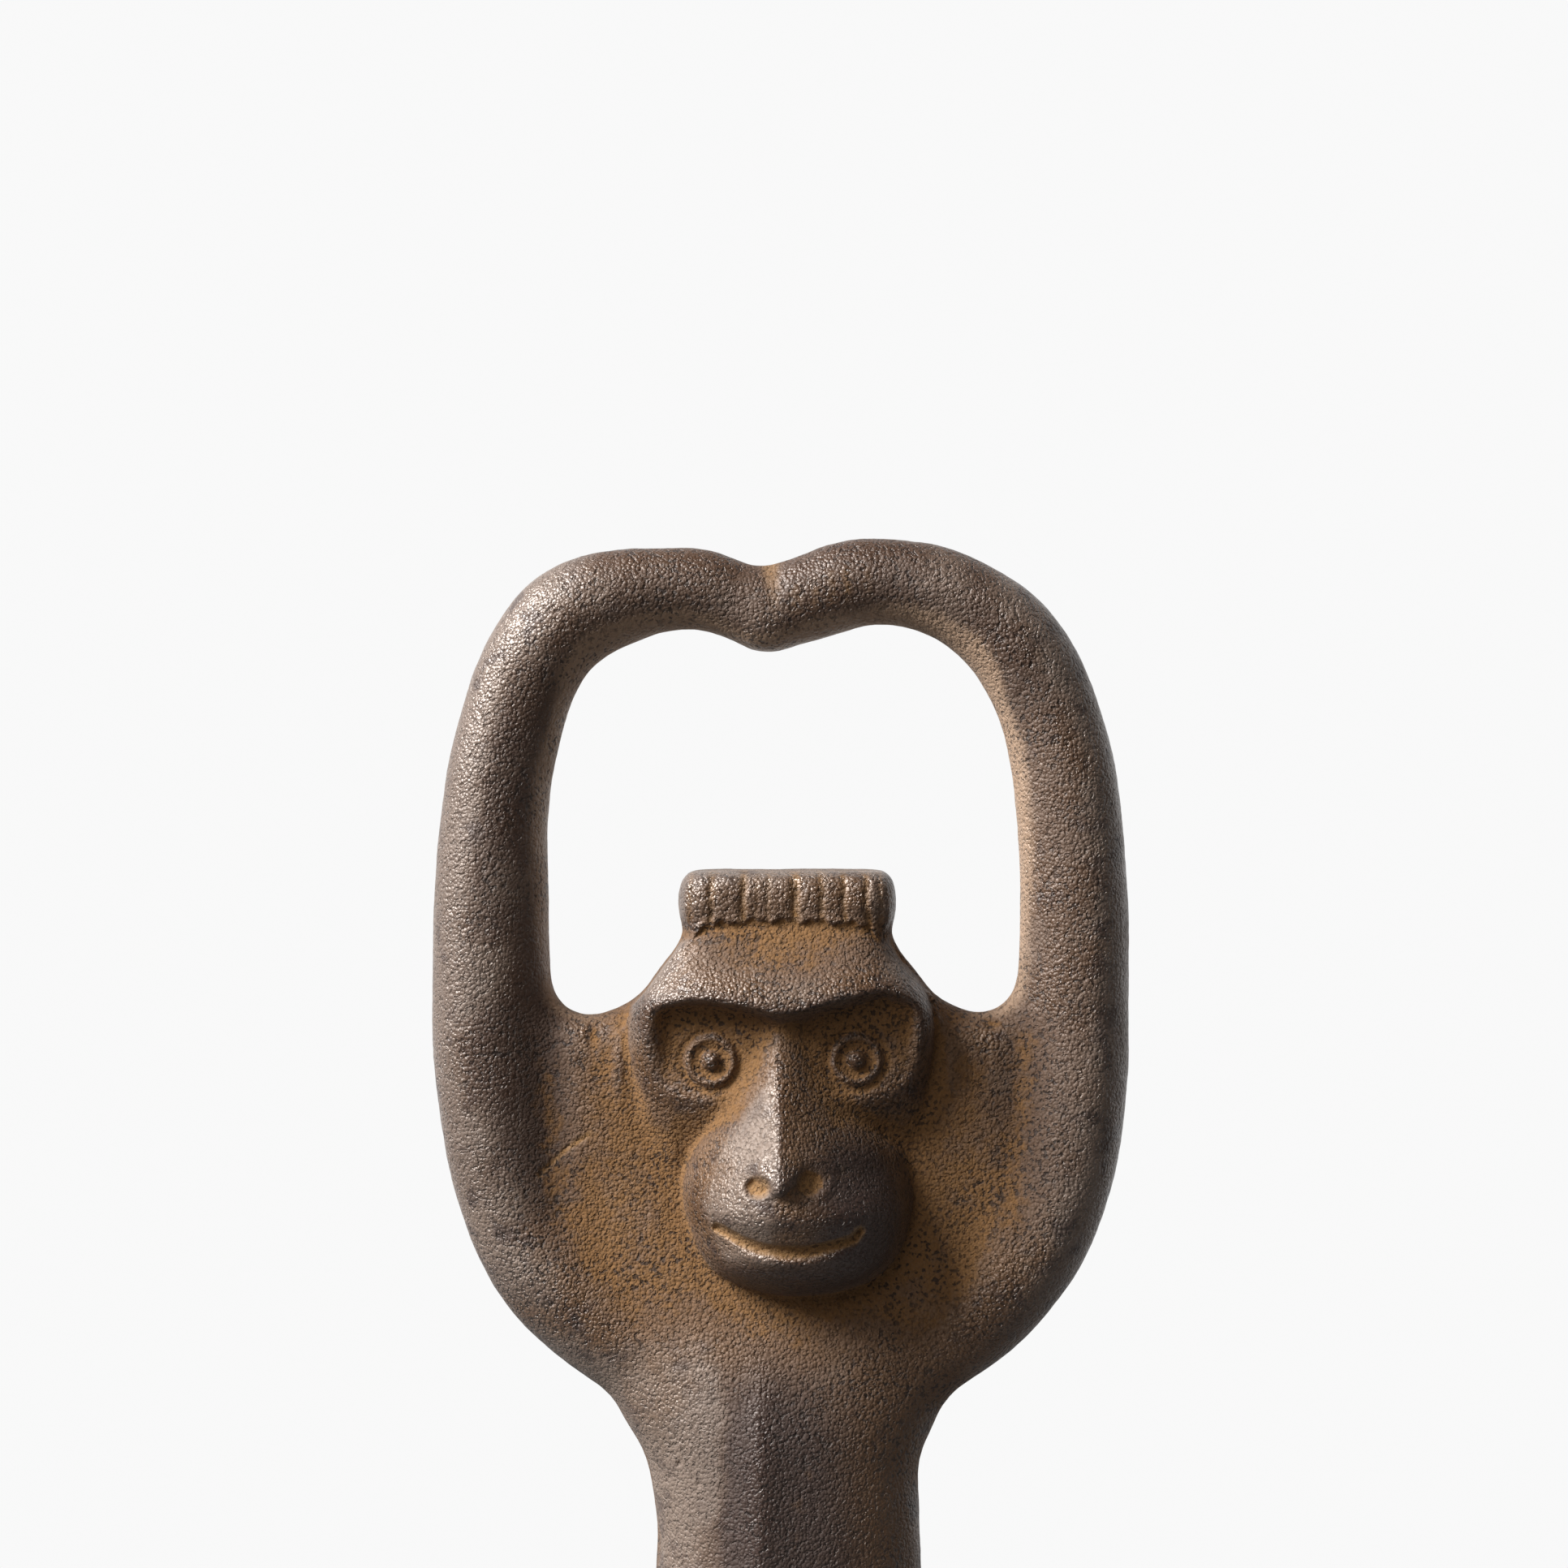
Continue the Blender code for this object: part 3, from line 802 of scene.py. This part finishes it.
def make_casting():
    mesh = frame["nodes"][CASTING].data.copy()
    mesh = fused(mesh, FIRST_GRAIN, FIRST_SMOOTHING)
    carve_head(mesh)
    mesh = fused(mesh, FINE_GRAIN, FINE_SMOOTHING)
    for carve in (carve_face, carve_crest, carve_body, swell_arms, carve_toes, rough_casting):
        put_points(mesh, carve(points_of(mesh), normals_of(mesh)))
    mesh = thinned(mesh, KEPT_FACES)
    mesh.name = "opener"
    mesh.materials.clear()
    measure_shape(mesh)
    casting = bpy.data.objects.new("opener", mesh)
    bpy.context.scene.collection.objects.link(casting)
    mesh.shade_smooth()
    return casting


# ---- materials -------------------------------------------------------------------------------------------


class Nodes:
    """Short calls for building a node tree from left to right."""

    def __init__(self, tree):
        self.tree = tree
        self.column = 0

    def add(self, kind, **settings):
        node = self.tree.nodes.new(kind)
        self.column += 1
        node.location = (180 * (self.column % 12), -220 * (self.column // 12))
        for name, value in settings.items():
            setattr(node, name, value)
        return node

    def join(self, source, target):
        if isinstance(source, (int, float)):
            target.default_value = source
        else:
            self.tree.links.new(source, target)

    def math(self, operation, first, second=0.0, clamp=False):
        node = self.add("ShaderNodeMath", operation=operation, use_clamp=clamp)
        self.join(first, node.inputs[0])
        self.join(second, node.inputs[1])
        return node.outputs[0]

    def noise(self, place, size, detail=2.0, rough=0.5):
        """Noise from 0 to 1 whose features are about this many millimetres across."""
        node = self.add("ShaderNodeTexNoise")
        self.join(place, node.inputs["Vector"])
        node.inputs["Scale"].default_value = 1 / size
        node.inputs["Detail"].default_value = detail
        node.inputs["Roughness"].default_value = rough
        return node.outputs["Fac"]

    def ramp(self, value, start, end, low=0.0, high=1.0):
        node = self.add("ShaderNodeMapRange", interpolation_type="SMOOTHSTEP")
        self.join(value, node.inputs["Value"])
        node.inputs["From Min"].default_value = start
        node.inputs["From Max"].default_value = end
        node.inputs["To Min"].default_value = low
        node.inputs["To Max"].default_value = high
        return node.outputs["Result"]

    def attribute(self, name):
        return self.add("ShaderNodeAttribute", attribute_name=name).outputs["Fac"]

    def mix(self, share, first, second):
        node = self.add("ShaderNodeMix", data_type="RGBA")
        self.join(share, node.inputs["Factor"])
        for socket, colour in ((node.inputs["A"], first), (node.inputs["B"], second)):
            if isinstance(colour, tuple):
                socket.default_value = (*colour, 1)
            else:
                self.tree.links.new(colour, socket)
        return node.outputs["Result"]


def sand_grain_group():
    """Cast grain of a given size: a height of round grains, and a mask of the pits where grains fell out."""
    group = bpy.data.node_groups.new("sand_grain", "ShaderNodeTree")
    group.interface.new_socket("Place", in_out="INPUT", socket_type="NodeSocketVector")
    group.interface.new_socket("Fineness", in_out="INPUT", socket_type="NodeSocketFloat")
    group.interface.new_socket("Height", in_out="OUTPUT", socket_type="NodeSocketFloat")
    group.interface.new_socket("Pits", in_out="OUTPUT", socket_type="NodeSocketFloat")
    make = Nodes(group)
    given = make.add("NodeGroupInput")
    result = make.add("NodeGroupOutput")
    grains = make.add("ShaderNodeTexVoronoi", feature="SMOOTH_F1")
    make.join(given.outputs["Place"], grains.inputs["Vector"])
    make.join(given.outputs["Fineness"], grains.inputs["Scale"])
    grains.inputs["Smoothness"].default_value = 0.15
    swell = make.add("ShaderNodeTexNoise")
    make.join(given.outputs["Place"], swell.inputs["Vector"])
    make.join(make.math("MULTIPLY", given.outputs["Fineness"], 0.45), swell.inputs["Scale"])
    swell.inputs["Detail"].default_value = 2.0
    round_top = make.math("MULTIPLY", grains.outputs["Distance"], grains.outputs["Distance"])
    height = make.math("SUBTRACT", make.math("MULTIPLY", swell.outputs["Fac"], 0.35), round_top)
    holes = make.add("ShaderNodeTexNoise")
    make.join(given.outputs["Place"], holes.inputs["Vector"])
    make.join(make.math("MULTIPLY", given.outputs["Fineness"], 0.75), holes.inputs["Scale"])
    holes.inputs["Detail"].default_value = 1.0
    pits = make.ramp(holes.outputs["Fac"], 0.47, 0.34)
    make.join(make.math("SUBTRACT", height, make.math("MULTIPLY", pits, 0.8)), result.inputs["Height"])
    make.join(pits, result.inputs["Pits"])
    return group


BROWN = (0.132, 0.069, 0.032)
TAUPE = (0.192, 0.143, 0.115)
PLUM = (0.042, 0.025, 0.022)
OCHRE = (0.196, 0.098, 0.032)
PALE_RUST = (0.270, 0.150, 0.058)
# A pale colour painted on the loop's inner wall as the light that it catches.
WALL_PAINTED_LIGHT = (0.340, 0.230, 0.155)
PIT_DARK = (0.018, 0.010, 0.008)
# Grains of sand to a millimetre, in the fine facing sand and in the coarse sand behind it, and their relief.
FINE_SAND = 3.6
COARSE_SAND = 1.7
GRAIN_RELIEF = 0.13


def waxed_iron():
    """Brown waxed iron: taupe where rubbed and painted lit, plum for thick wax and painted shade, ochre rust in
    every hollow.
    """
    material = bpy.data.materials.new("waxed_iron")
    material.use_nodes = True
    make = Nodes(material.node_tree)
    shader = material.node_tree.nodes["Principled BSDF"]
    place = make.add("ShaderNodeVectorMath", operation="SCALE")
    material.node_tree.links.new(make.add("ShaderNodeTexCoord").outputs["Object"], place.inputs[0])
    place.inputs["Scale"].default_value = 1 / MM
    place = place.outputs[0]

    fine = make.add("ShaderNodeGroup", node_tree=sand_grain_group())
    make.join(place, fine.inputs["Place"])
    fine.inputs["Fineness"].default_value = FINE_SAND
    coarse = make.add("ShaderNodeGroup", node_tree=fine.node_tree)
    make.join(place, coarse.inputs["Place"])
    coarse.inputs["Fineness"].default_value = COARSE_SAND

    broad = make.attribute("hollow_broad")
    narrow = make.attribute("hollow_narrow")
    loop = make.attribute("loop_wall_light")
    dust = make.attribute("dust")
    patches = make.noise(place, 9.0, 3.0, 0.6)
    blotches = make.noise(place, 2.6, 3.0, 0.6)
    specks = make.noise(place, 0.55, 2.0, 0.6)

    # This mix carries rubbed wear and also painted light on the sides that face the window.
    wear_and_painted_light = make.math("ADD", make.math("MULTIPLY", make.attribute("wear_and_painted_light"), 0.45), patches)
    wear_and_painted_light = make.math("ADD", wear_and_painted_light, make.math("MULTIPLY", make.attribute("sheltered"), -0.20))
    rubbed_and_lit = make.ramp(make.math("ADD", wear_and_painted_light, make.math("MULTIPLY", broad, -0.30)), 0.50, 0.90)
    colour = make.mix(rubbed_and_lit, BROWN, TAUPE)
    standing_out = make.ramp(broad, 0.05, -0.30, 0.20, 1.0)
    waxed = make.math("MULTIPLY", make.ramp(blotches, 0.48, 0.68), standing_out)
    thick = make.ramp(broad, -0.15, -0.60, 0.0, 0.85)
    thick = make.math("MULTIPLY", thick, make.ramp(make.attribute("wear_and_painted_light"), 0.4, 1.0, 1.0, 0.30))
    waxed = make.math("MAXIMUM", waxed, thick)
    # The dark plum carries thick wax and also painted shade on the sides turned from the window.
    dark = make.math("MULTIPLY", make.attribute("dark_wax_and_painted_shade"), 0.80)
    dark = make.math("MULTIPLY", dark, make.ramp(rubbed_and_lit, 0.0, 1.0, 1.0, 0.4))
    waxed = make.math("MAXIMUM", make.math("MULTIPLY", waxed, 0.75), dark)
    colour = make.mix(waxed, colour, PLUM)

    hollow = make.math("ADD", make.math("MULTIPLY", broad, 1.5), make.math("MULTIPLY", narrow, 2.2))
    hollow = make.math("ADD", hollow, make.ramp(blotches, 0.3, 0.7, -0.18, 0.18))
    hollow = make.math("ADD", hollow, make.ramp(specks, 0.3, 0.7, -0.10, 0.10))
    hollow = make.math("ADD", hollow, make.math("MULTIPLY", make.attribute("sheltered"), 0.32))
    hollow = make.math("ADD", hollow, make.math("MULTIPLY", make.attribute("dark_wax_and_painted_shade"), -0.10))
    hollow = make.math("ADD", hollow, make.math("MULTIPLY", make.attribute("wear_and_painted_light"), -0.45))
    rust = make.ramp(hollow, 0.05, 0.60)
    colour = make.mix(make.math("MULTIPLY", rust, 0.85), colour, OCHRE)
    # Painted light: the pale band on the loop's inner wall.
    colour = make.mix(make.math("MULTIPLY", loop, 0.85), colour, WALL_PAINTED_LIGHT)
    colour = make.mix(make.math("MULTIPLY", dust, 0.8), colour, PALE_RUST)

    dotted = make.ramp(make.noise(place, 6.0, 2.0), 0.35, 0.60, 0.15, 1.0)
    dotted = make.math("MULTIPLY", dotted, make.ramp(make.attribute("wear_and_painted_light"), 0.0, 1.0, 1.0, 0.35))
    pits = make.math("MULTIPLY", make.math("MULTIPLY", fine.outputs["Pits"], dotted), 0.80)
    colour = make.mix(pits, colour, PIT_DARK)
    grain_tone = make.ramp(fine.outputs["Height"], 0.0, 0.2, 0.0, 0.15)
    colour = make.mix(grain_tone, colour, TAUPE)
    material.node_tree.links.new(colour, shader.inputs["Base Color"])

    sunk = make.math("ADD", broad, make.ramp(patches, 0.3, 0.7, -0.1, 0.1))
    gloss = make.ramp(sunk, -0.45, 0.15, 0.40, 0.84)
    gloss = make.math("ADD", gloss, make.ramp(specks, 0.3, 0.7, -0.05, 0.08))
    gloss = make.math("ADD", gloss, make.math("MULTIPLY", make.attribute("wear_and_painted_light"), -0.08))
    gloss = make.math("ADD", gloss, make.math("MULTIPLY", rust, 0.15), clamp=True)
    material.node_tree.links.new(gloss, shader.inputs["Roughness"])
    shader.inputs["Metallic"].default_value = 0.15
    shader.inputs["Specular IOR Level"].default_value = 0.75

    relief = make.math("ADD", fine.outputs["Height"], make.math("MULTIPLY", coarse.outputs["Height"], 0.2))
    worn = make.math("MAXIMUM", make.attribute("wear_and_painted_light"), make.attribute("dark_wax_and_painted_shade"))
    relief = make.math("MULTIPLY", relief, make.ramp(worn, 0.0, 0.8, 1.05, 0.76))
    bump = make.add("ShaderNodeBump")
    make.join(relief, bump.inputs["Height"])
    bump.inputs["Strength"].default_value = 0.9
    bump.inputs["Distance"].default_value = GRAIN_RELIEF * MM
    material.node_tree.links.new(bump.outputs["Normal"], shader.inputs["Normal"])
    return material


# ---- room ------------------------------------------------------------------------------------------------

# How bright the pale surround looks, and how much of it the casting sees behind it and in front of it.
SURROUND = 0.945
GLOW_BEHIND = 0.95
GLOW_BEFORE = 0.02
FLOOR_RADIUS = 0.20
# The floor's grey as it is seen, and as the casting sees it.
FLOOR_SEEN = (0.44, 0.44, 0.44)
FLOOR_LIT = (0.20, 0.20, 0.20)


def surround_white():
    """Plain white that shines evenly to the eye. On the casting it glows from behind, as a bright wall does."""
    material = bpy.data.materials.new("surround_white")
    material.use_nodes = True
    make = Nodes(material.node_tree)
    tree = material.node_tree
    tree.nodes.remove(tree.nodes["Principled BSDF"])
    where = make.add("ShaderNodeSeparateXYZ")
    tree.links.new(make.add("ShaderNodeTexCoord").outputs["Object"], where.inputs[0])
    behind = make.ramp(where.outputs["Y"], -0.15, 0.45, GLOW_BEFORE, GLOW_BEHIND)
    seen = make.add("ShaderNodeLightPath").outputs["Is Camera Ray"]
    across = make.math("MULTIPLY", where.outputs["X"], where.outputs["X"])
    along = make.math("MULTIPLY", where.outputs["Y"], where.outputs["Y"])
    away = make.math("SQRT", make.math("ADD", across, along))
    wall = make.ramp(away, FLOOR_RADIUS * 0.3, FLOOR_RADIUS)
    glow = make.add("ShaderNodeMix")
    make.join(seen, glow.inputs["Factor"])
    make.join(behind, glow.inputs["A"])
    glow.inputs["B"].default_value = SURROUND
    shine = make.add("ShaderNodeEmission")
    make.join(glow.outputs["Result"], shine.inputs["Strength"])
    paint = make.add("ShaderNodeBsdfDiffuse")
    tree.links.new(make.mix(seen, FLOOR_LIT, FLOOR_SEEN), paint.inputs["Color"])
    both = make.add("ShaderNodeMixShader")
    make.join(wall, both.inputs["Fac"])
    tree.links.new(paint.outputs[0], both.inputs[1])
    tree.links.new(shine.outputs[0], both.inputs[2])
    tree.links.new(both.outputs[0], tree.nodes["Material Output"].inputs["Surface"])
    return material


# The bowl that floor and wall make, as (radius, height) in metres, how many sides it has, and how far it lies
# below the sole.
BOWL = (
    (0.30, 0.0),
    (0.60, 0.0),
    (0.72, 0.012),
    (0.84, 0.06),
    (0.92, 0.14),
    (0.96, 0.26),
    (0.98, 0.6),
    (0.98, 1.3),
)
BOWL_SIDES = 96
UNDER_SOLE = 0.2


def make_stage():
    """A round pale floor that turns up into a wall all round."""
    mesh = bpy.data.meshes.new("bowl")
    made = bmesh.new()
    centre = made.verts.new((0, 0, 0))
    rings = []
    for radius, height in BOWL:
        ring = []
        for step in range(BOWL_SIDES):
            angle = math.tau * step / BOWL_SIDES
            ring.append(made.verts.new((radius * math.cos(angle), radius * math.sin(angle), height)))
        rings.append(ring)
    for step in range(BOWL_SIDES):
        after = (step + 1) % BOWL_SIDES
        made.faces.new((centre, rings[0][step], rings[0][after]))
        for inner, outer in zip(rings, rings[1:]):
            made.faces.new((inner[step], outer[step], outer[after], inner[after]))
    made.to_mesh(mesh)
    made.free()
    mesh.shade_smooth()
    bowl = bpy.data.objects.new("bowl", mesh)
    bowl.location.z = -UNDER_SOLE * MM
    mesh.materials.append(surround_white())
    bpy.context.scene.collection.objects.link(bowl)


def lamp(name, place, aim, size, power, colour):
    light = bpy.data.lights.new(name, "AREA")
    light.shape = "DISK"
    light.size = size
    light.energy = power
    light.color = colour
    made = bpy.data.objects.new(name, light)
    made.location = place
    made.rotation_euler = (Vector(aim) - Vector(place)).to_track_quat("-Z", "Y").to_euler()
    bpy.context.scene.collection.objects.link(made)
    return made


# The camera is level. FRAME_WIDTH is the width that it takes in at the arms' middle plane.
CAMERA_RIGHT = 0.245 * MM
CAMERA_HEIGHT = 127.6 * MM
CAMERA_AWAY = 280 * MM
FRAME_WIDTH = 135.24 * MM
SENSOR_WIDTH = 36


def make_camera():
    camera = bpy.data.cameras.new("camera")
    camera.sensor_width = SENSOR_WIDTH
    camera.lens = SENSOR_WIDTH * CAMERA_AWAY / FRAME_WIDTH
    camera.clip_start = 0.01
    made = bpy.data.objects.new("camera", camera)
    made.location = (CAMERA_RIGHT, MIDDLE * MM - CAMERA_AWAY, CAMERA_HEIGHT)
    made.rotation_euler = (math.pi / 2, 0, 0)
    bpy.context.scene.collection.objects.link(made)
    bpy.context.scene.camera = made


# Where both lamps aim, and each lamp's place and size in metres, its power in watts, and its colour.
AIM = (0, 0, 0.10)
WINDOW_PLACE = (-0.434, -0.193, 0.49)
WINDOW_SIZE = 0.34
WINDOW_POWER = 9.8
WINDOW_COLOUR = (1.0, 0.98, 0.95)
ROOM_PLACE = (-0.20, -0.52, 0.42)
ROOM_SIZE = 0.40
ROOM_POWER = 1.25
ROOM_COLOUR = (1.0, 0.93, 0.84)
SKY = 0.03


def make_light():
    """One large window beside the casting on the left, and the weak light of the room from the front."""
    lamp("window", WINDOW_PLACE, AIM, WINDOW_SIZE, WINDOW_POWER, WINDOW_COLOUR)
    lamp("room", ROOM_PLACE, AIM, ROOM_SIZE, ROOM_POWER, ROOM_COLOUR)
    world = bpy.data.worlds.new("world")
    bpy.context.scene.world = world
    world.use_nodes = True
    world.node_tree.nodes["Background"].inputs["Color"].default_value = (1, 1, 1, 1)
    world.node_tree.nodes["Background"].inputs["Strength"].default_value = SKY
    bpy.context.scene.view_settings.view_transform = "Standard"


make_camera()
make_light()
make_stage()
casting = make_casting()
casting.data.materials.append(waxed_iron())
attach(casting, "root")
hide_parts(CASTING)
